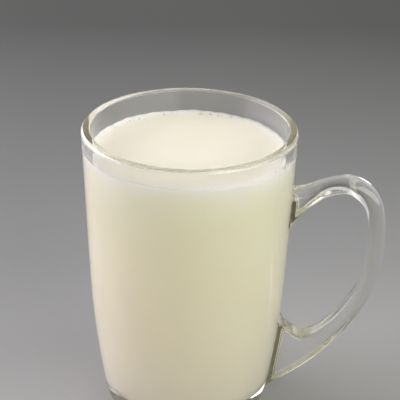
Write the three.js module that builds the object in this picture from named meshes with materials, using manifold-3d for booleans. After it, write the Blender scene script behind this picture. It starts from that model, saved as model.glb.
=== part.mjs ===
// A clear pressed-glass mug with a loop handle, filled with milk to a little under its rim.
// Millimetres, +Z up. The handle points along +X. The mug stands on a narrow ring round a shallow recess.

import * as THREE from 'three';
import { mergeVertices } from 'three/addons/utils/BufferGeometryUtils.js';
import Module from 'manifold-3d';

// Mug body
const MUG_HEIGHT = 108.5;
const RIM_RADIUS = 39.4;
const WALL_AT_RIM = 3.4;
const WALL_AT_FLOOR = 4.4;
const WALL_TAPER = 0.055;
const FOOT_TUCK = 4.0;
const TUCK_HEIGHT = 52.0;
const RIM_OUTER_ROUNDING = 1.2;
const RIM_INNER_ROUNDING = 0.6;

// Base of the mug
const FOOT_ROUNDING = 3.0;
const STANDING_RING_WIDTH = 2.6;
const RECESS_DEPTH = 1.2;
const FLOOR_HEIGHT = 5.0;
const FLOOR_ROUNDING = 7.0;

// Milk
const MILK_LEVEL = 100.2;
const MILK_CLEARANCE = 0.3;

// Handle: each pair is [distance from the mug's axis, height] on its outer and on its inner outline
const HANDLE_STATIONS = [
  { outer: [35.6, 83.6], inner: [34.9, 66.0] },
  { outer: [40.0, 84.9], inner: [38.2, 72.4] },
  { outer: [44.2, 86.2], inner: [43.2, 77.6] },
  { outer: [49.6, 88.3], inner: [50.2, 82.7] },
  { outer: [58.2, 89.9], inner: [57.2, 84.1] },
  { outer: [65.2, 87.6], inner: [61.8, 81.7] },
  { outer: [70.6, 81.6], inner: [64.9, 77.7] },
  { outer: [72.5, 72.5], inner: [66.3, 71.3] },
  { outer: [72.6, 62.5], inner: [66.6, 61.9] },
  { outer: [71.4, 52.3], inner: [65.9, 52.4] },
  { outer: [67.1, 40.0], inner: [61.7, 42.5] },
  { outer: [58.7, 27.4], inner: [53.4, 31.4] },
  { outer: [48.0, 16.4], inner: [43.8, 25.3] },
  { outer: [37.5, 8.9], inner: [36.8, 29.6] },
  { outer: [27.6, 3.8], inner: [32.8, 36.0] },
];
const HANDLE_WIDTH = 9.2;
const HANDLE_EDGE_ROUNDING = 3.0;
const HANDLE_ROOT_SPREAD = 2.4;
const HANDLE_ROOT_REACH = 2.0;

// Fineness of the faceted surfaces
const TURNED_SEGMENTS = 72;
const WALL_STEPS = 9;
const RIM_OUTER_STEPS = 5;
const RIM_INNER_STEPS = 3;
const CORNER_STEPS = 5;
const HANDLE_STEPS_PER_SPAN = 4;
const HANDLE_STEPS_AT_ROOT = 8;
const HANDLE_CORNER_STEPS = 3;

const wasm = await Module();
wasm.setup();

const QUARTER_TURN = Math.PI / 2;

const clearGlass = new THREE.MeshStandardMaterial({
  color: 0xe6ebe7,
  roughness: 0.04,
  metalness: 0,
  transparent: true,
  opacity: 0.35,
});

const whiteMilk = new THREE.MeshStandardMaterial({
  color: 0xeee9d8,
  roughness: 0.3,
  metalness: 0,
});

// Outer radius of the wall: a straight taper that tucks in faster near the foot.
function outerRadius(height) {
  const tuck = Math.max(0, 1 - height / TUCK_HEIGHT);
  return RIM_RADIUS - WALL_TAPER * (MUG_HEIGHT - height) - FOOT_TUCK * tuck ** 2;
}

// Inner radius of the wall, which thickens a little from the rim down to the floor.
function innerRadius(height) {
  const depth = (MUG_HEIGHT - height) / (MUG_HEIGHT - FLOOR_HEIGHT);
  return outerRadius(height) - THREE.MathUtils.lerp(WALL_AT_RIM, WALL_AT_FLOOR, depth);
}

// Angle by which a wall leans outward from the vertical at a height.
function leanAt(radiusAt, height) {
  const step = 0.5;
  return Math.atan2(radiusAt(height + step) - radiusAt(height - step), 2 * step);
}

function arcPoints(centreRadius, centreHeight, radius, fromAngle, toAngle, steps) {
  const points = [];
  for (let i = 0; i <= steps; i += 1) {
    const angle = THREE.MathUtils.lerp(fromAngle, toAngle, i / steps);
    const x = centreRadius + radius * Math.cos(angle);
    points.push(new THREE.Vector2(x, centreHeight + radius * Math.sin(angle)));
  }
  return points;
}

// Points up a wall between two heights, closer together near the foot, without the two ends.
function wallPoints(radiusAt, lowHeight, highHeight, inset = 0) {
  const points = [];
  for (let i = 1; i < WALL_STEPS; i += 1) {
    const height = THREE.MathUtils.lerp(lowHeight, highHeight, (i / WALL_STEPS) ** 1.4);
    points.push(new THREE.Vector2(radiusAt(height) - inset, height));
  }
  return points;
}

// Rounded corner at the bottom of a wall, from the bottom plane up to where it meets the wall.
function bottomCorner(radiusAt, bottomHeight, rounding, inset = 0) {
  const lean = leanAt(radiusAt, bottomHeight + rounding);
  const meetingHeight = bottomHeight + rounding * (1 - Math.sin(lean));
  const centreRadius = radiusAt(meetingHeight) - inset - rounding * Math.cos(lean);
  const centreHeight = bottomHeight + rounding;
  return arcPoints(centreRadius, centreHeight, rounding, -QUARTER_TURN, -lean, CORNER_STEPS);
}

// Closed outline of the mug's glass, from the middle of its underside round to the middle of its floor.
function glassOutline() {
  const foot = bottomCorner(outerRadius, 0, FOOT_ROUNDING);
  const footTop = foot[foot.length - 1].y;
  const ringInner = foot[0].x - STANDING_RING_WIDTH;
  const outerTop = MUG_HEIGHT - RIM_OUTER_ROUNDING;
  const innerTop = MUG_HEIGHT - RIM_INNER_ROUNDING;
  const rimOuter = outerRadius(outerTop) - RIM_OUTER_ROUNDING;
  const rimInner = innerRadius(innerTop) + RIM_INNER_ROUNDING;
  const floorCorner = bottomCorner(innerRadius, FLOOR_HEIGHT, FLOOR_ROUNDING);
  const floorCornerTop = floorCorner[floorCorner.length - 1].y;
  return [
    new THREE.Vector2(0, RECESS_DEPTH),
    new THREE.Vector2(ringInner * 0.6, RECESS_DEPTH * 0.8),
    new THREE.Vector2(ringInner * 0.88, RECESS_DEPTH * 0.4),
    new THREE.Vector2(ringInner, 0),
    ...foot,
    ...wallPoints(outerRadius, footTop, outerTop),
    ...arcPoints(rimOuter, outerTop, RIM_OUTER_ROUNDING, 0, QUARTER_TURN, RIM_OUTER_STEPS),
    ...arcPoints(rimInner, innerTop, RIM_INNER_ROUNDING, QUARTER_TURN, 2 * QUARTER_TURN, RIM_INNER_STEPS),
    ...wallPoints(innerRadius, floorCornerTop, innerTop).reverse(),
    ...floorCorner.reverse(),
    new THREE.Vector2(0, FLOOR_HEIGHT),
  ];
}

// Closed outline of the milk: the cavity's own outline, a hair inside it, up to the milk's level.
function milkOutline() {
  const bottom = FLOOR_HEIGHT + MILK_CLEARANCE;
  const rounding = FLOOR_ROUNDING - MILK_CLEARANCE;
  const corner = bottomCorner(innerRadius, bottom, rounding, MILK_CLEARANCE);
  const cornerTop = corner[corner.length - 1].y;
  return [
    new THREE.Vector2(0, bottom),
    ...corner,
    ...wallPoints(innerRadius, cornerTop, MILK_LEVEL, MILK_CLEARANCE),
    new THREE.Vector2(innerRadius(MILK_LEVEL) - MILK_CLEARANCE, MILK_LEVEL),
    new THREE.Vector2(0, MILK_LEVEL),
  ];
}

// Closed solid from a geometry: shared vertices merged and the empty triangles at a pole dropped.
function toSolid(geometry) {
  const bare = geometry.clone();
  bare.deleteAttribute('normal');
  bare.deleteAttribute('uv');
  const merged = mergeVertices(bare, 1e-4);
  const corners = merged.index.array;
  const kept = [];
  for (let i = 0; i < corners.length; i += 3) {
    const [a, b, c] = [corners[i], corners[i + 1], corners[i + 2]];
    if (a !== b && b !== c && c !== a) {
      kept.push(a, b, c);
    }
  }
  return new wasm.Manifold(new wasm.Mesh({
    numProp: 3,
    vertProperties: new Float32Array(merged.attributes.position.array),
    triVerts: new Uint32Array(kept),
  }));
}

function toGeometry(solid) {
  const mesh = solid.getMesh();
  const geometry = new THREE.BufferGeometry();
  geometry.setAttribute('position', new THREE.BufferAttribute(mesh.vertProperties, 3));
  geometry.setIndex(new THREE.BufferAttribute(mesh.triVerts, 1));
  geometry.computeVertexNormals();
  return geometry;
}

// Turns an outline about the upright axis.
function turned(outline) {
  const geometry = new THREE.LatheGeometry(outline, TURNED_SEGMENTS);
  geometry.rotateX(QUARTER_TURN);
  return toSolid(geometry);
}

// Corner points of the handle's rounded strap section: [across the mug, 0 inner to 1 outer outline].
function strapSection(thickness) {
  const rounding = Math.min(HANDLE_EDGE_ROUNDING, thickness / 2.1);
  const halfWidth = HANDLE_WIDTH / 2 - rounding;
  const halfThickness = thickness / 2 - rounding;
  const points = [];
  for (let corner = 0; corner < 4; corner += 1) {
    const side = corner === 0 || corner === 3 ? 1 : -1;
    const face = corner < 2 ? 1 : -1;
    for (let i = 0; i <= HANDLE_CORNER_STEPS; i += 1) {
      const angle = QUARTER_TURN * (corner + i / HANDLE_CORNER_STEPS);
      const across = side * halfWidth + rounding * Math.cos(angle);
      const through = face * halfThickness + rounding * Math.sin(angle);
      points.push([across, 0.5 + through / thickness]);
    }
  }
  return points;
}

// The strap's sides spread out softly as they reach the wall.
function rootSpread(x, y, z) {
  const distance = Math.max(0, Math.hypot(x, y) - outerRadius(z));
  return HANDLE_ROOT_SPREAD * Math.exp(-distance / HANDLE_ROOT_REACH);
}

// Places of the sections along the handle, from 0 to 1, closer together where it meets the wall.
function sectionPlaces() {
  const spans = HANDLE_STATIONS.length - 1;
  const places = [0];
  for (let span = 0; span < spans; span += 1) {
    const atRoot = span === 0 || span === spans - 1;
    const steps = atRoot ? HANDLE_STEPS_AT_ROOT : HANDLE_STEPS_PER_SPAN;
    for (let i = 1; i <= steps; i += 1) {
      places.push((span + i / steps) / spans);
    }
  }
  return places;
}

// The handle is lofted between its outer and inner outlines; both ends are buried in the wall.
function handle() {
  const outerLine = new THREE.SplineCurve(HANDLE_STATIONS.map(({ outer }) => new THREE.Vector2(...outer)));
  const innerLine = new THREE.SplineCurve(HANDLE_STATIONS.map(({ inner }) => new THREE.Vector2(...inner)));
  const places = sectionPlaces();
  const positions = [];
  let sectionSize = 0;
  for (const place of places) {
    const outerPoint = outerLine.getPoint(place);
    const innerPoint = innerLine.getPoint(place);
    const section = strapSection(outerPoint.distanceTo(innerPoint));
    sectionSize = section.length;
    for (const [across, through] of section) {
      const point = innerPoint.clone().lerp(outerPoint, through);
      const spread = rootSpread(point.x, across, point.y);
      positions.push(point.x, across + Math.sign(across) * spread, point.y);
    }
  }
  const indices = [];
  for (let ring = 0; ring < places.length - 1; ring += 1) {
    for (let i = 0; i < sectionSize; i += 1) {
      const next = (i + 1) % sectionSize;
      const [a, b] = [ring * sectionSize + i, ring * sectionSize + next];
      const [c, d] = [a + sectionSize, b + sectionSize];
      indices.push(a, b, c, b, d, c);
    }
  }
  const lastRing = (places.length - 1) * sectionSize;
  for (let i = 1; i < sectionSize - 1; i += 1) {
    indices.push(0, i + 1, i);
    indices.push(lastRing, lastRing + i, lastRing + i + 1);
  }
  const geometry = new THREE.BufferGeometry();
  geometry.setAttribute('position', new THREE.Float32BufferAttribute(positions, 3));
  geometry.setIndex(indices);
  return toSolid(geometry);
}

function namedMesh(name, solid, material) {
  const mesh = new THREE.Mesh(toGeometry(solid), material);
  mesh.name = name;
  return mesh;
}

const group = new THREE.Group();
group.add(namedMesh('glass_mug', turned(glassOutline()).add(handle()), clearGlass));
group.add(namedMesh('milk', turned(milkOutline()), whiteMilk));

// The origin is the middle of the whole footprint, so the body stands off it, opposite the handle.
const centre = new THREE.Box3().setFromObject(group).getCenter(new THREE.Vector3());
group.position.x = -centre.x;

export default group;
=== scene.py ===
# A clear pressed-glass mug of milk with a loop handle, standing on a plain grey studio floor.
# Metres, +Z up. The handle points along +X.

import math
import random

import bmesh
import bpy
from mathutils import Matrix, Vector


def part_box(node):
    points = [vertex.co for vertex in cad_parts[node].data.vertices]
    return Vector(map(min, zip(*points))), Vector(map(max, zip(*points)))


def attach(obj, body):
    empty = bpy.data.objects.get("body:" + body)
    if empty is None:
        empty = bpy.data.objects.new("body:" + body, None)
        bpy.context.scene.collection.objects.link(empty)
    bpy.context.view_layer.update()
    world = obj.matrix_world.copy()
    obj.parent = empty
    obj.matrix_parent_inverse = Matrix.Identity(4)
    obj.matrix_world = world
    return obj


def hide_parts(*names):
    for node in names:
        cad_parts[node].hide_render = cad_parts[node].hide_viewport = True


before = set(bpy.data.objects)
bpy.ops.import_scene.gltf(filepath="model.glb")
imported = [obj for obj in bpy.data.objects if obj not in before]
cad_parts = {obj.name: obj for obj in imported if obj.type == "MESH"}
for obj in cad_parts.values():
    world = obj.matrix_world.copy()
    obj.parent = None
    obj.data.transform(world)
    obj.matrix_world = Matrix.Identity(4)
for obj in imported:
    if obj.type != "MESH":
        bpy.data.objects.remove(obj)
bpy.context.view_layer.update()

# The milk in the frame gives the mug's axis and the milk's level
milk_low, milk_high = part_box("milk")
AXIS_X = (milk_low.x + milk_high.x) / 2
MILK_LEVEL = milk_high.z

# Mug body
MUG_HEIGHT = 0.1085
RIM_RADIUS = 0.0394
RIM_OUTER_ROUNDING = 0.0012
RIM_INNER_ROUNDING = 0.0006
WALL_AT_RIM = 0.0034
WALL_AT_FLOOR = 0.0044
WALL_TAPER = 0.055
FOOT_TUCK = 0.0040
TUCK_HEIGHT = 0.0520
TUCK_POWER = 2

# Base of the mug: the recess under it is level in its middle and curves down to the standing ring
FOOT_ROUNDING = 0.0030
STANDING_RING_WIDTH = 0.0026
RECESS_DEPTH = 0.0012
RECESS_POWER = 3
FLOOR_HEIGHT = 0.0050
FLOOR_ROUNDING = 0.0070

# Handle: pairs of (distance from the mug's axis, height) on its outer and on its inner outline
HANDLE_STATIONS = (
    ((0.0356, 0.0836), (0.0349, 0.0660)),
    ((0.0400, 0.0849), (0.0382, 0.0724)),
    ((0.0442, 0.0862), (0.0432, 0.0776)),
    ((0.0496, 0.0883), (0.0502, 0.0827)),
    ((0.0582, 0.0899), (0.0572, 0.0841)),
    ((0.0652, 0.0876), (0.0618, 0.0817)),
    ((0.0706, 0.0816), (0.0649, 0.0777)),
    ((0.0725, 0.0725), (0.0663, 0.0713)),
    ((0.0726, 0.0625), (0.0666, 0.0619)),
    ((0.0714, 0.0523), (0.0659, 0.0524)),
    ((0.0671, 0.0400), (0.0617, 0.0425)),
    ((0.0587, 0.0274), (0.0534, 0.0314)),
    ((0.0480, 0.0164), (0.0438, 0.0253)),
    ((0.0375, 0.0089), (0.0368, 0.0296)),
    ((0.0276, 0.0038), (0.0328, 0.0360)),
)
HANDLE_WIDTH = 0.0092
HANDLE_EDGE_ROUNDING = 0.0030
HANDLE_ROOT_SPREAD = 0.0024
HANDLE_ROOT_REACH = 0.0020

# Where the strap is thinner than this many roundings of its edges, the rounding gets smaller
LEAST_THICKNESS_IN_ROUNDINGS = 2.1

# The strap's edges get crisper towards the lower root: fully so from this share of its length on
LOWER_ROOT_EDGE_ROUNDING = 0.0017
LOWER_ROOT_FROM = 0.85
LOWER_ROOT_POWER = 6

# Milk
MILK_INTO_GLASS = 0.00015
MENISCUS_RISE = 0.0004
MENISCUS_REACH = 0.0014
MILK_SCATTER_REACH = 0.0045
SURFACE_RIPPLE = 0.00006

# Waver of the milk's edge against the glass: (waves round the mug, angle that they start from)
CONTACT_WAVES = ((9, 0.7), (17, 0), (41, 2))
CONTACT_WAVE_HEIGHT = 0.00010
CONTACT_FADE = 0.0018

# Large bubbles on the milk: (angle round the mug in degrees, distance from the glass, radius)
LARGE_BUBBLES = (
    (82.9, 0.0018, 0.00085),
    (76.6, 0.0013, 0.00070),
    (71.0, 0.0018, 0.00080),
    (68.9, 0.0013, 0.00065),
    (63.1, 0.0010, 0.00075),
    (107.1, 0.0019, 0.00060),
    (125.1, 0.0020, 0.00055),
    (132.3, 0.0015, 0.00060),
)
BUBBLE_SINK_IN_RADII = 0.45

# Small bubbles, scattered about the large ones: angles in degrees, distances from the glass, radii
SMALL_BUBBLES = 46
SMALL_BUBBLE_SEED = 4
SMALL_BUBBLE_ANGLE = 75
SMALL_BUBBLE_ANGLE_SPREAD = 55
SMALL_BUBBLE_LEAST_DISTANCE = 0.0006
SMALL_BUBBLE_MEAN_DRIFT = 0.0007
SMALL_BUBBLE_RADII = (0.00015, 0.00034)

# Fineness of the meshes
TURNED_SEGMENTS = 256
WALL_STEPS = 90
RIM_STEPS = 28
CORNER_STEPS = 16
MILK_RINGS = 60
MILK_RING_POWER = 1.6
HANDLE_STEPS_PER_SPAN = 20
HANDLE_CORNER_STEPS = 8
HANDLE_FLAT_STEPS = 4
BUBBLE_SUBDIVISIONS = 3
FLOOR_SIDES = 96

LEAN_STEP = 0.0005
QUARTER_TURN = math.pi / 2
SMOOTH_UP_TO = math.radians(32)
LEAST_UPWARD_NORMAL = 0.5

# Camera: level distance and height from the mug's foot, and where it looks
CAMERA_DISTANCE = 0.700
CAMERA_HEIGHT = 0.4074
CAMERA_PITCH = math.radians(25.08)
CAMERA_YAW = math.radians(0.34)
CAMERA_ROLL = math.radians(1.035)
CAMERA_CLIPS = (0.01, 50)
LENS_MM = 189.6
SENSOR_MM = 36.0

# Studio
FLOOR_RADIUS = 4.0
FLOOR_DROP = 0.0001
WHITE = (1.0, 1.0, 1.0)
WORLD_GREY = 0.5
WORLD_STRENGTH = 0.6

# Softboxes, turned to this height on the mug's axis: (name, place from the mug, size, watts, colour)
LIT_HEIGHT = 0.05
SOFTBOXES = (
    ("left_softbox", (-0.82, 0.36, 0.43), (2.0, 1.1), 17.6, (1, 0.99, 1)),
    ("low_left_softbox", (-0.85, 0.1, 0.27), (2.0, 0.7), 7.0, (1, 0.80, 1)),
    ("right_softbox", (0.78, -0.55, 0.43), (1.9, 1.1), 15.2, (1, 0.99, 0.96)),
    ("front_softbox", (0.1, -1.0, 0.3), (1.9, 0.7), 3.4, (1, 0.88, 0.5)),
    ("back_softbox", (0, 1.4, 0.35), (2.4, 0.9), 1.4, (1, 1, 1)),
)

# Low cards beside the mug: (name, place from the mug, watts, colour)
CARD_SIZE = (0.30, 0.16)
CARDS = (
    ("left_card", (-0.17, 0.10, 0.08), 0.07, (1, 0.97, 1)),
    ("right_card", (0.19, 0.10, 0.08), 0.05, (1, 0.95, 1)),
)

# A softbox's cloth is evenly bright up to a distance from its middle and dark from a wider one on,
# both in shares of its size
CLOTH_MIDDLE = (0.5, 0.5, 0)
CLOTH_FADE_FROM = 0.3
CLOTH_FADE_TO = 0.5
CLOTH_STRENGTH = 1.66

# Bounces of light: many, for the layers of glass
GLASS_BOUNCES = 64
DIFFUSE_BOUNCES = 6


def lerp(a, b, share):
    return a + (b - a) * share


def add_object(name, data):
    thing = bpy.data.objects.new(name, data)
    bpy.context.collection.objects.link(thing)
    return thing


def make_camera():
    data = bpy.data.cameras.new("photo_camera")
    data.lens = LENS_MM
    data.sensor_width = SENSOR_MM
    data.clip_start, data.clip_end = CAMERA_CLIPS
    forward = Vector((
        math.sin(CAMERA_YAW) * math.cos(CAMERA_PITCH),
        math.cos(CAMERA_YAW) * math.cos(CAMERA_PITCH),
        -math.sin(CAMERA_PITCH),
    ))
    level_right = Vector((math.cos(CAMERA_YAW), -math.sin(CAMERA_YAW), 0))
    level_up = level_right.cross(forward)
    right = level_right * math.cos(CAMERA_ROLL) + level_up * math.sin(CAMERA_ROLL)
    up = level_up * math.cos(CAMERA_ROLL) - level_right * math.sin(CAMERA_ROLL)
    turn = Matrix((right, up, -forward)).transposed().to_4x4()
    place = Matrix.Translation((AXIS_X, -CAMERA_DISTANCE, CAMERA_HEIGHT))
    camera = add_object("photo_camera", data)
    camera.matrix_world = place @ turn
    bpy.context.scene.camera = camera


# Outlines of the turned pieces: lists of (distance from the mug's axis, height)

def outer_radius(height):
    tuck = max(0.0, 1 - height / TUCK_HEIGHT)
    return RIM_RADIUS - WALL_TAPER * (MUG_HEIGHT - height) - FOOT_TUCK * tuck ** TUCK_POWER


def inner_radius(height):
    depth = (MUG_HEIGHT - height) / (MUG_HEIGHT - FLOOR_HEIGHT)
    return outer_radius(height) - lerp(WALL_AT_RIM, WALL_AT_FLOOR, depth)


def lean_at(radius_at, height):
    # How far the wall leans outwards from upright, as an angle
    growth = radius_at(height + LEAN_STEP) - radius_at(height - LEAN_STEP)
    return math.atan2(growth, 2 * LEAN_STEP)


def arc(centre_radius, centre_height, radius, start, end, steps):
    angles = [lerp(start, end, i / steps) for i in range(steps + 1)]
    return [
        (centre_radius + radius * math.cos(a), centre_height + radius * math.sin(a))
        for a in angles
    ]


def wall(radius_at, low, high, outset=0.0):
    heights = [lerp(low, high, i / WALL_STEPS) for i in range(1, WALL_STEPS)]
    return [(radius_at(h) + outset, h) for h in heights]


def bottom_corner(radius_at, bottom, rounding, outset=0.0):
    # The rounding between a level bottom and a leaning wall, from the bottom up
    lean = lean_at(radius_at, bottom + rounding)
    meeting = bottom + rounding * (1 - math.sin(lean))
    centre_radius = radius_at(meeting) + outset - rounding * math.cos(lean)
    return arc(centre_radius, bottom + rounding, rounding, -QUARTER_TURN, -lean, CORNER_STEPS)


def level_to(edge, height):
    # A level line from the axis, ending just short of this edge
    return [(edge * i / CORNER_STEPS, height) for i in range(CORNER_STEPS)]


def recess_to(edge):
    shares = [i / CORNER_STEPS for i in range(CORNER_STEPS)]
    return [(edge * share, RECESS_DEPTH * (1 - share ** RECESS_POWER)) for share in shares]


def rim():
    # From the outside over the top to the inside
    outer_top = MUG_HEIGHT - RIM_OUTER_ROUNDING
    inner_top = MUG_HEIGHT - RIM_INNER_ROUNDING
    outer_centre = outer_radius(outer_top) - RIM_OUTER_ROUNDING
    inner_centre = inner_radius(inner_top) + RIM_INNER_ROUNDING
    outside = arc(outer_centre, outer_top, RIM_OUTER_ROUNDING, 0, QUARTER_TURN, RIM_STEPS)
    inside = arc(inner_centre, inner_top, RIM_INNER_ROUNDING, QUARTER_TURN, math.pi, RIM_STEPS // 2)
    return outside + inside


def glass_outline():
    # From the middle of the recess round the outside, over the rim and down to the floor's middle
    foot = bottom_corner(outer_radius, 0, FOOT_ROUNDING)
    ring_inner = foot[0][0] - STANDING_RING_WIDTH
    floor_corner = bottom_corner(inner_radius, FLOOR_HEIGHT, FLOOR_ROUNDING)
    return (
        recess_to(ring_inner)
        + [(ring_inner, 0)]
        + foot
        + wall(outer_radius, foot[-1][1], MUG_HEIGHT - RIM_OUTER_ROUNDING)
        + rim()
        + wall(inner_radius, floor_corner[-1][1], MUG_HEIGHT - RIM_INNER_ROUNDING)[::-1]
        + floor_corner[::-1]
        + level_to(floor_corner[0][0], FLOOR_HEIGHT)[::-1]
    )


def milk_outline():
    # The milk reaches a little into the glass, so that no gap shows between them
    bottom = FLOOR_HEIGHT - MILK_INTO_GLASS
    corner = bottom_corner(inner_radius, bottom, FLOOR_ROUNDING, MILK_INTO_GLASS)
    edge_height = MILK_LEVEL + MENISCUS_RISE
    edge_radius = inner_radius(edge_height) + MILK_INTO_GLASS
    surface = []
    for i in range(MILK_RINGS):
        radius = edge_radius * (1 - i / MILK_RINGS) ** MILK_RING_POWER
        rise = MENISCUS_RISE * math.exp(-(edge_radius - radius) / MENISCUS_REACH)
        surface.append((radius, MILK_LEVEL + rise))
    return (
        level_to(corner[0][0], bottom)
        + corner
        + wall(inner_radius, corner[-1][1], edge_height, MILK_INTO_GLASS)
        + surface
        + [(0, MILK_LEVEL)]
    )


# Meshes

def shade_smooth(mesh):
    mesh.polygons.foreach_set("use_smooth", [True] * len(mesh.polygons))


def mesh_object(name, points, faces):
    mesh = bpy.data.meshes.new(name)
    mesh.from_pydata(points, [], faces)
    mesh.validate()
    mesh.update()
    shade_smooth(mesh)
    return add_object(name, mesh)


def turned(name, outline):
    # An outline that starts and ends on the mug's axis, turned about it
    points = [(AXIS_X, 0, outline[0][1])]
    for radius, height in outline[1:-1]:
        for i in range(TURNED_SEGMENTS):
            angle = 2 * math.pi * i / TURNED_SEGMENTS
            points.append((AXIS_X + radius * math.cos(angle), radius * math.sin(angle), height))
    points.append((AXIS_X, 0, outline[-1][1]))
    rings = len(outline) - 2
    last = len(points) - 1
    faces = []
    for i in range(TURNED_SEGMENTS):
        after = (i + 1) % TURNED_SEGMENTS
        faces.append((0, 1 + after, 1 + i))
        for ring in range(rings - 1):
            low = 1 + ring * TURNED_SEGMENTS
            high = low + TURNED_SEGMENTS
            faces.append((low + i, low + after, high + after, high + i))
        top = 1 + (rings - 1) * TURNED_SEGMENTS
        faces.append((top + i, top + after, last))
    return mesh_object(name, points, faces)


# Handle, lofted between its two outlines

def along_spline(points, place):
    # The smooth curve through all points, place running from 0 to 1
    spans = len(points) - 1
    span = min(int(place * spans), spans - 1)
    t = place * spans - span
    before = points[max(span - 1, 0)]
    start, end = points[span], points[span + 1]
    after = points[min(span + 2, spans)]
    result = []
    for p0, p1, p2, p3 in zip(before, start, end, after):
        v0, v1 = (p2 - p0) / 2, (p3 - p1) / 2
        cubic = (2 * p1 - 2 * p2 + v0 + v1) * t ** 3
        square = (-3 * p1 + 3 * p2 - 2 * v0 - v1) * t ** 2
        result.append(cubic + square + v0 * t + p1)
    return result


def strap_section(thickness, edge_rounding):
    # Rounded rectangle: (across the strap, 0 at its inner outline to 1 at its outer outline)
    rounding = min(edge_rounding, thickness / LEAST_THICKNESS_IN_ROUNDINGS)
    half_width = HANDLE_WIDTH / 2 - rounding
    half_thickness = thickness / 2 - rounding
    corners = []
    for corner in range(4):
        side = 1 if corner in (0, 3) else -1
        face = 1 if corner < 2 else -1
        arc_points = []
        for i in range(HANDLE_CORNER_STEPS + 1):
            angle = QUARTER_TURN * (corner + i / HANDLE_CORNER_STEPS)
            across = side * half_width + rounding * math.cos(angle)
            through = face * half_thickness + rounding * math.sin(angle)
            arc_points.append((across, 0.5 + through / thickness))
        corners.append(arc_points)
    section = []
    for corner in range(4):
        section += corners[corner]
        start, end = corners[corner][-1], corners[(corner + 1) % 4][0]
        for i in range(1, HANDLE_FLAT_STEPS):
            share = i / HANDLE_FLAT_STEPS
            section.append((lerp(start[0], end[0], share), lerp(start[1], end[1], share)))
    return section


def root_spread(x, y, z):
    # How much wider each side of the strap gets near the wall
    distance = max(0.0, math.hypot(x, y) - outer_radius(z))
    return HANDLE_ROOT_SPREAD * math.exp(-distance / HANDLE_ROOT_REACH)


def handle_ring(place):
    # The points round the strap, at a place that runs from 0 at its upper root to 1 at its lower one
    outer = along_spline([station[0] for station in HANDLE_STATIONS], place)
    inner = along_spline([station[1] for station in HANDLE_STATIONS], place)
    crispness = min(1.0, place / LOWER_ROOT_FROM) ** LOWER_ROOT_POWER
    edge_rounding = lerp(HANDLE_EDGE_ROUNDING, LOWER_ROOT_EDGE_ROUNDING, crispness)
    ring = []
    for across, through in strap_section(math.dist(outer, inner), edge_rounding):
        x = lerp(inner[0], outer[0], through)
        z = lerp(inner[1], outer[1], through)
        y = across + math.copysign(root_spread(x, across, z), across)
        ring.append((AXIS_X + x, y, z))
    return ring


def make_handle():
    last = (len(HANDLE_STATIONS) - 1) * HANDLE_STEPS_PER_SPAN
    rings = [handle_ring(i / last) for i in range(last + 1)]
    points = [point for ring in rings for point in ring]
    size = len(rings[0])
    faces = []
    for low in range(0, last * size, size):
        high = low + size
        for i in range(size):
            after = (i + 1) % size
            faces.append((low + i, low + after, high + after, high + i))
    faces.append(tuple(reversed(range(size))))
    faces.append(tuple(range(last * size, len(points))))
    return mesh_object("handle_blank", points, faces)


# Nodes of the materials and lights

def set_inputs(tree, node, inputs):
    # Where a socket is given for an input, it is linked to it, and any other value is set on it
    for name, value in inputs.items():
        if isinstance(value, bpy.types.NodeSocket):
            tree.links.new(value, node.inputs[name])
        else:
            node.inputs[name].default_value = value


def add_node(tree, kind, inputs, **options):
    node = tree.nodes.new(kind)
    for name, choice in options.items():
        setattr(node, name, choice)
    set_inputs(tree, node, inputs)
    return node


def object_place(tree):
    return tree.nodes.new("ShaderNodeTexCoord").outputs["Object"]


def object_axis(tree, axis):
    split = add_node(tree, "ShaderNodeSeparateXYZ", {"Vector": object_place(tree)})
    return split.outputs[axis]


def noise(tree, scale, detail=3.0, stretch=(1, 1, 1)):
    stretched = add_node(tree, "ShaderNodeMapping", {
        "Vector": object_place(tree),
        "Scale": stretch,
    })
    texture = add_node(tree, "ShaderNodeTexNoise", {
        "Vector": stretched.outputs["Vector"],
        "Scale": scale,
        "Detail": detail,
    })
    return texture.outputs["Fac"]


def colour_ramp(tree, value, stops):
    ramp = add_node(tree, "ShaderNodeValToRGB", {"Fac": value})
    elements = ramp.color_ramp.elements
    for index, (place, colour) in enumerate(stops):
        # A new ramp has two stops already
        stop = elements[index] if index < len(elements) else elements.new(place)
        stop.position = place
        stop.color = (*colour, 1)
    return ramp.outputs["Color"]


def bump(tree, height, strength, distance):
    inputs = {"Height": height, "Strength": strength, "Distance": distance}
    return add_node(tree, "ShaderNodeBump", inputs).outputs["Normal"]


def multiplied(tree, first, second):
    node = add_node(
        tree, "ShaderNodeMix", {"Factor": 1.0, "A": first, "B": second},
        data_type="RGBA", blend_type="MULTIPLY",
    )
    return node.outputs["Result"]


def scaled(tree, value, factor):
    inputs = {0: value, 1: factor}
    return add_node(tree, "ShaderNodeMath", inputs, operation="MULTIPLY").outputs["Value"]


def wandering(tree, value, scale, amount):
    # The value, pushed up by a noise of this scale by at most this amount
    inputs = {0: noise(tree, scale), 1: amount, 2: value}
    return add_node(tree, "ShaderNodeMath", inputs, operation="MULTIPLY_ADD").outputs["Value"]


def vector_math(tree, operation, *operands):
    inputs = dict(enumerate(operands))
    return add_node(tree, "ShaderNodeVectorMath", inputs, operation=operation).outputs["Vector"]


def length(tree, vector):
    inputs = {0: vector}
    return add_node(tree, "ShaderNodeVectorMath", inputs, operation="LENGTH").outputs["Value"]


def new_material(name):
    material = bpy.data.materials.new(name)
    material.use_nodes = True
    tree = material.node_tree
    shader = tree.nodes["Principled BSDF"]
    return material, tree, shader


# Mug

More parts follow.
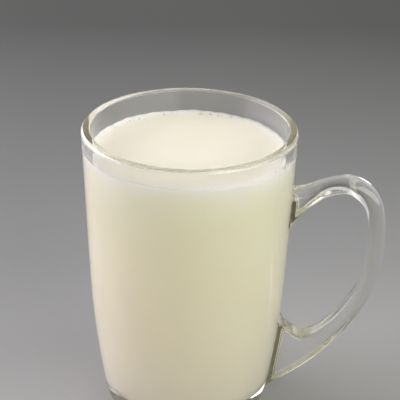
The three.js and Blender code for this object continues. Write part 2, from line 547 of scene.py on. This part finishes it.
def glass_material():
    # Clear glass with faint waves and haze
    material, tree, shader = new_material("clear_glass")
    tint = colour_ramp(tree, noise(tree, scale=25), [
        (0.3, (0.980, 0.984, 0.978)),
        (0.7, (0.996, 0.998, 0.994)),
    ])
    haze = add_node(tree, "ShaderNodeMapRange", {
        "Value": noise(tree, scale=60),
        "To Min": 0.0,
        "To Max": 0.035,
    })
    waves = noise(tree, scale=40, detail=1.0, stretch=(1, 1, 0.35))
    set_inputs(tree, shader, {
        "Base Color": tint,
        "Roughness": haze.outputs["Result"],
        "IOR": 1.51,
        "Transmission Weight": 0.985,
        "Normal": bump(tree, waves, strength=0.08, distance=0.0004),
    })

    # Long paths through the glass turn olive
    absorption = add_node(tree, "ShaderNodeVolumeAbsorption", {
        "Color": (0.81, 0.80, 0.69, 1),
        "Density": 20,
    })
    set_inputs(tree, tree.nodes["Material Output"], {"Volume": absorption.outputs["Volume"]})
    return material


def make_mug():
    body = turned("clear_mug", glass_outline())
    handle = make_handle()
    join = body.modifiers.new("handle", "BOOLEAN")
    join.operation = "UNION"
    join.solver = "EXACT"
    join.object = handle
    graph = bpy.context.evaluated_depsgraph_get()
    joined = bpy.data.meshes.new_from_object(body.evaluated_get(graph))
    body.modifiers.clear()
    body.data = joined
    joined.name = "clear_mug"
    bpy.data.objects.remove(handle)
    shade_smooth(joined)
    joined.set_sharp_from_angle(angle=SMOOTH_UP_TO)
    joined.materials.clear()
    joined.materials.append(glass_material())
    return body


# Milk

def body_colour_and_shade(tree):
    # The milk's cream colour with painted shade: palest just under the surface and darker lower
    # down, where less light reaches it
    cloudy = colour_ramp(tree, noise(tree, scale=45), [
        (0.25, (0.980, 0.975, 0.955)),
        (0.75, WHITE),
    ])
    height = wandering(tree, object_axis(tree, "Z"), scale=60, amount=0.0016)
    # Painted shade: the colour is darker lower in the milk and lightest just under its surface
    painted_shade_by_height = colour_ramp(tree, scaled(tree, height, 1 / MUG_HEIGHT), [
        (0.10, (0.880, 0.845, 0.735)),
        (0.35, (0.905, 0.870, 0.728)),
        (0.80, (0.955, 0.922, 0.748)),
        (0.88, (0.990, 0.970, 0.805)),
        (0.915, (0.990, 0.975, 0.860)),
        (0.932, (0.990, 0.975, 0.880)),
    ])
    return multiplied(tree, painted_shade_by_height, cloudy)


def surface_colour(tree):
    # Cream in the middle and whiter in a ring of fine froth against the glass
    from_axis = vector_math(tree, "MULTIPLY_ADD", object_place(tree), (1, 1, 0), (-AXIS_X, 0, 0))
    radius = wandering(tree, length(tree, from_axis), scale=120, amount=0.006)
    ring = colour_ramp(tree, scaled(tree, radius, 1 / RIM_RADIUS), [
        (0.70, (0.892, 0.853, 0.717)),
        (0.88, (0.900, 0.866, 0.754)),
        (0.96, (0.945, 0.920, 0.842)),
    ])
    cloudy = colour_ramp(tree, noise(tree, scale=60, detail=4.0), [
        (0.3, (0.97, 0.965, 0.945)),
        (0.7, WHITE),
    ])
    return multiplied(tree, ring, cloudy)


def milk_material(name, colour_of, shine):
    # Scattering milk: light that enters it comes out again a few millimetres away
    material, tree, shader = new_material(name)
    ripple = noise(tree, scale=70, detail=2.0)
    set_inputs(tree, shader, {
        "Base Color": colour_of(tree),
        "Roughness": 0.22,
        "IOR": 1.35,
        "Specular IOR Level": shine,
        "Subsurface Weight": 1.0,
        "Subsurface Radius": (1.0, 1.0, 1.0),
        "Subsurface Scale": MILK_SCATTER_REACH,
        "Normal": bump(tree, ripple, strength=0.2, distance=SURFACE_RIPPLE),
    })
    return material


def wave_contact_line(milk):
    # The line where the milk clings to the glass wanders up and down a little
    edge_height = MILK_LEVEL + MENISCUS_RISE
    edge_radius = inner_radius(edge_height)
    for vertex in milk.data.vertices:
        x, y, z = vertex.co
        angle = math.atan2(y, x - AXIS_X)
        wave = sum(math.sin(count * angle + start) for count, start in CONTACT_WAVES)
        distance = math.hypot(edge_radius - math.hypot(x - AXIS_X, y), edge_height - z)
        fade = math.exp(-(distance / CONTACT_FADE) ** 2)
        vertex.co.z += CONTACT_WAVE_HEIGHT * wave * fade


def make_milk():
    milk = turned("milk_filling", milk_outline())
    wave_contact_line(milk)
    milk.data.materials.append(milk_material("milk_body", body_colour_and_shade, shine=0.1))
    milk.data.materials.append(milk_material("milk_surface", surface_colour, shine=0.5))
    for face in milk.data.polygons:
        if face.normal.z > LEAST_UPWARD_NORMAL:
            face.material_index = 1
    return milk


# Bubbles

def bubble_places():
    places = list(LARGE_BUBBLES)
    chance = random.Random(SMALL_BUBBLE_SEED)
    for _ in range(SMALL_BUBBLES):
        angle = chance.gauss(SMALL_BUBBLE_ANGLE, SMALL_BUBBLE_ANGLE_SPREAD)
        drift = chance.expovariate(1 / SMALL_BUBBLE_MEAN_DRIFT)
        radius = chance.uniform(*SMALL_BUBBLE_RADII)
        places.append((angle, SMALL_BUBBLE_LEAST_DISTANCE + drift, radius))
    return places


def bubble_material():
    # A thin wet skin that lets some of the milk's colour through
    material, tree, shader = new_material("milk_bubble")
    tint = colour_ramp(tree, noise(tree, scale=900), [
        (0.3, (0.80, 0.78, 0.69)),
        (0.7, (0.92, 0.89, 0.79)),
    ])
    set_inputs(tree, shader, {
        "Base Color": tint,
        "Roughness": 0.12,
        "IOR": 1.34,
        "Transmission Weight": 0.35,
        "Normal": bump(tree, noise(tree, scale=1500), strength=0.1, distance=0.00003),
    })
    return material


def make_bubbles():
    # Each bubble is a small ball, sunk so far that a dome stands out of the surface
    balls = bmesh.new()
    glass_edge = inner_radius(MILK_LEVEL)
    for angle, distance, radius in bubble_places():
        reach = glass_edge - distance - radius
        turn = math.radians(angle)
        centre = Matrix.Translation((
            AXIS_X + reach * math.cos(turn),
            reach * math.sin(turn),
            MILK_LEVEL - radius * BUBBLE_SINK_IN_RADII,
        ))
        bmesh.ops.create_icosphere(
            balls, subdivisions=BUBBLE_SUBDIVISIONS, radius=radius, matrix=centre,
        )
    mesh = bpy.data.meshes.new("milk_bubbles")
    balls.to_mesh(mesh)
    balls.free()
    shade_smooth(mesh)
    mesh.materials.append(bubble_material())
    return add_object("milk_bubbles", mesh)


# Floor, lights and surroundings

def painted_shade_by_the_lights(tree):
    # Painted shade that keeps the floor even where the softboxes light it most: to both sides of the
    # mug and in front of it. Behind the mug only the distance to the side counts.
    beside = vector_math(tree, "MINIMUM", object_place(tree), (FLOOR_RADIUS, 0, 0))
    return colour_ramp(tree, length(tree, beside), [
        (0.3, WHITE),
        (0.75, (0.33, 0.33, 0.33)),
    ])


def floor_material():
    # Plain paper with painted shade: its colour gets darker away from the camera and a little to the
    # left
    material, tree, shader = new_material("pale_floor")
    # Painted shade: darker with distance behind the mug
    colour = colour_ramp(tree, object_axis(tree, "Y"), [
        (0.0, (0.322, 0.326, 0.325)),
        (0.055, (0.305, 0.309, 0.307)),
        (0.11, (0.250, 0.254, 0.252)),
        (0.2, (0.195, 0.199, 0.196)),
        (0.4, (0.084, 0.089, 0.084)),
    ])
    grain = colour_ramp(tree, noise(tree, scale=8), [
        (0.3, (0.97, 0.97, 0.97)),
        (0.7, WHITE),
    ])
    # Painted shade: a little darker to the left of the mug
    painted_shade_leftwards = colour_ramp(tree, scaled(tree, object_axis(tree, "X"), -1), [
        (0.0, WHITE),
        (0.09, (0.89, 0.90, 0.90)),
    ])
    for layer in (grain, painted_shade_leftwards, painted_shade_by_the_lights(tree)):
        colour = multiplied(tree, colour, layer)
    set_inputs(tree, shader, {
        "Base Color": colour,
        "Roughness": 0.75,
        "Specular IOR Level": 0.15,
    })
    return material


def make_floor():
    points = [(0, 0, -FLOOR_DROP)]
    for i in range(FLOOR_SIDES):
        angle = 2 * math.pi * i / FLOOR_SIDES
        x, y = FLOOR_RADIUS * math.cos(angle), FLOOR_RADIUS * math.sin(angle)
        points.append((x, y, -FLOOR_DROP))
    faces = [(0, 1 + i, 1 + (i + 1) % FLOOR_SIDES) for i in range(FLOOR_SIDES)]
    floor = mesh_object("studio_floor", points, faces)
    floor.data.materials.append(floor_material())


def fade_edges(data):
    # Brightest in the middle of the cloth, fading out towards its frame
    data.use_nodes = True
    tree = data.node_tree
    place = tree.nodes.new("ShaderNodeNewGeometry").outputs["Parametric"]
    from_middle = vector_math(tree, "SUBTRACT", place, CLOTH_MIDDLE)
    inputs = {
        "Value": length(tree, from_middle),
        "From Min": CLOTH_FADE_FROM,
        "From Max": CLOTH_FADE_TO,
        "To Min": CLOTH_STRENGTH,
        "To Max": 0.0,
    }
    fade = add_node(tree, "ShaderNodeMapRange", inputs, interpolation_type="SMOOTHSTEP")
    set_inputs(tree, tree.nodes["Emission"], {"Strength": fade.outputs["Result"]})


def make_softbox(name, from_mug, lit_height, size, watts, colour):
    data = bpy.data.lights.new(name, "AREA")
    data.shape = "RECTANGLE"
    data.size, data.size_y = size
    data.energy = watts
    data.color = colour
    fade_edges(data)
    light = add_object(name, data)
    place = Vector((AXIS_X + from_mug[0], from_mug[1], from_mug[2]))
    light.location = place
    direction = Vector((AXIS_X, 0, lit_height)) - place
    light.rotation_euler = direction.to_track_quat("-Z", "Y").to_euler()
    light.visible_camera = False
    return light


def make_card(name, from_mug, watts, colour):
    # It shows in the glass and doesn't light the milk or the floor
    light = make_softbox(name, from_mug, from_mug[2], CARD_SIZE, watts, colour)
    light.visible_diffuse = False


def make_lights():
    for name, from_mug, size, watts, colour in SOFTBOXES:
        make_softbox(name, from_mug, LIT_HEIGHT, size, watts, colour)
    for name, from_mug, watts, colour in CARDS:
        make_card(name, from_mug, watts, colour)


def make_world():
    world = bpy.data.worlds.new("studio")
    world.use_nodes = True
    set_inputs(world.node_tree, world.node_tree.nodes["Background"], {
        "Color": (WORLD_GREY, WORLD_GREY, WORLD_GREY, 1),
        "Strength": WORLD_STRENGTH,
    })
    bpy.context.scene.world = world


make_camera()

mug = make_mug()
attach(mug, "root")
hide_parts("glass_mug")

milk = make_milk()
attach(milk, "root")
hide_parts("milk")

bubbles = make_bubbles()
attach(bubbles, "root")

make_floor()
make_lights()
make_world()

scene = bpy.context.scene
scene.view_settings.view_transform = "Standard"
scene.cycles.use_denoising = True
scene.cycles.max_bounces = GLASS_BOUNCES
scene.cycles.transmission_bounces = GLASS_BOUNCES
scene.cycles.glossy_bounces = GLASS_BOUNCES
scene.cycles.diffuse_bounces = DIFFUSE_BOUNCES
